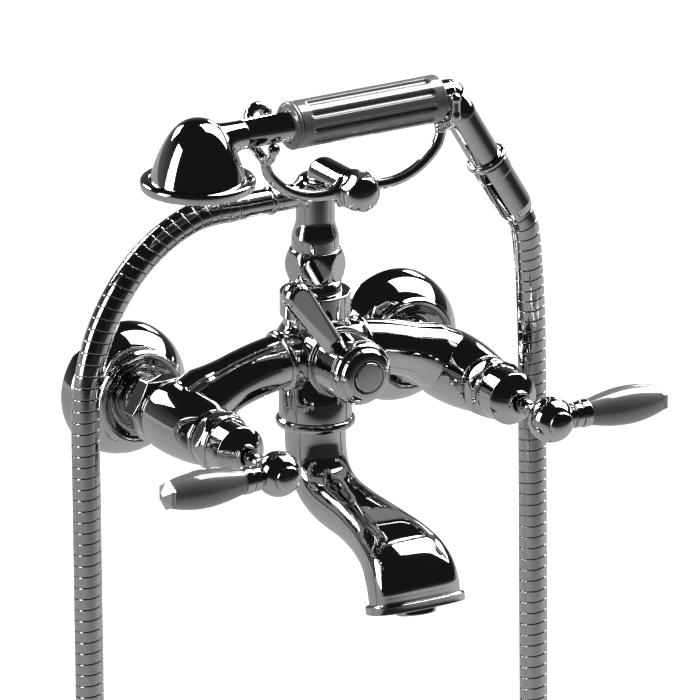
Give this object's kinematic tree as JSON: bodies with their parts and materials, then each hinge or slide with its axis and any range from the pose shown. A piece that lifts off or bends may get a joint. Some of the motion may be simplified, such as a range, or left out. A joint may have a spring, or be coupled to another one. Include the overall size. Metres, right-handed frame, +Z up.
{
  "type": "bath shower mixer",
  "caption": "Wall-mounted bath and shower mixer with lever valves, a diverter, a curved bath spout, and a hand shower on a cradle with a metal hose.",
  "frame": {"origin": "midway between the two wall inlets, on the face of the wall", "axes": "+X right along the wall as seen from the room, +Y into the wall, +Z up"},
  "size_m": [0.278, 0.1732, 0.6743],
  "materials": {
    "polished_chrome": "polished",
    "hose_chrome": "polished, wound in ribs",
    "satin_grip": "satin",
    "brass": "turned",
    "washer_rubber": "matt",
    "valve_ceramic": "ground ceramic",
    "screw_steel": "bright",
    "dark_plastic": "matt"
  },
  "bodies": {
    "mixer": {"mixer_body": "polished_chrome", "wall_flange_hot": "polished_chrome", "wall_flange_cold": "polished_chrome", "union_nut_hot": "polished_chrome", "union_nut_cold": "polished_chrome", "headwork_hot": "polished_chrome", "headwork_cold": "polished_chrome", "bonnet_hot": "polished_chrome", "bonnet_cold": "polished_chrome", "spout": "polished_chrome", "spout_ring": "polished_chrome", "aerator_shell": "polished_chrome", "outlet_collar": "polished_chrome", "column_nut": "polished_chrome", "cradle_stem": "polished_chrome", "cradle_bow": "polished_chrome", "cradle_cap": "polished_chrome", "hose_nut_lower": "polished_chrome", "wall_union_hot": "brass", "wall_union_cold": "brass", "diverter_sleeve": "brass", "spout_tail": "brass", "inlet_washer_hot": "washer_rubber", "inlet_washer_cold": "washer_rubber", "hose_washer_lower": "washer_rubber", "fixed_disc_hot": "valve_ceramic", "fixed_disc_cold": "valve_ceramic", "aerator_insert": "dark_plastic", "shower_hose": "hose_chrome"},
    "hot_handle": {"spindle_hot": "brass", "turning_disc_hot": "valve_ceramic", "handle_ball_hot": "polished_chrome", "handle_screw_hot": "screw_steel", "handle_cap_hot": "polished_chrome", "lever_stem_hot": "polished_chrome", "lever_grip_hot": "satin_grip", "lever_tip_hot": "polished_chrome"},
    "cold_handle": {"spindle_cold": "brass", "turning_disc_cold": "valve_ceramic", "handle_ball_cold": "polished_chrome", "handle_screw_cold": "screw_steel", "handle_cap_cold": "polished_chrome", "lever_stem_cold": "polished_chrome", "lever_grip_cold": "satin_grip", "lever_tip_cold": "polished_chrome"},
    "diverter_handle": {"diverter_spindle": "brass", "diverter_knob": "polished_chrome", "diverter_lever": "polished_chrome", "diverter_cap": "polished_chrome"},
    "handset": {"rose_bell": "polished_chrome", "rose_ring": "polished_chrome", "spray_plate": "dark_plastic", "handset_tube": "polished_chrome", "handset_grip": "satin_grip", "handset_elbow": "polished_chrome", "hose_nut_upper": "polished_chrome", "hose_washer_upper": "washer_rubber"}
  },
  "joints": [
    {"name": "hot_lever", "type": "hinge", "parent": "mixer", "child": "hot_handle", "pos_m": [-0.075, -0.1465, 0], "axis": [0, -1, 0], "range_deg": [0, 90]},
    {"name": "cold_lever", "type": "hinge", "parent": "mixer", "child": "cold_handle", "pos_m": [0.075, -0.1465, 0], "axis": [0, 1, 0], "range_deg": [0, 90]},
    {"name": "diverter", "type": "hinge", "parent": "mixer", "child": "diverter_handle", "pos_m": [0, -0.094, 0.0218], "axis": [0, 1, 0], "range_deg": [0, 74]},
    {"name": "handset_lift", "type": "slide", "parent": "mixer", "child": "handset", "axis": [0, 0, 1], "range_m": [0, 0.08]}
  ]
}
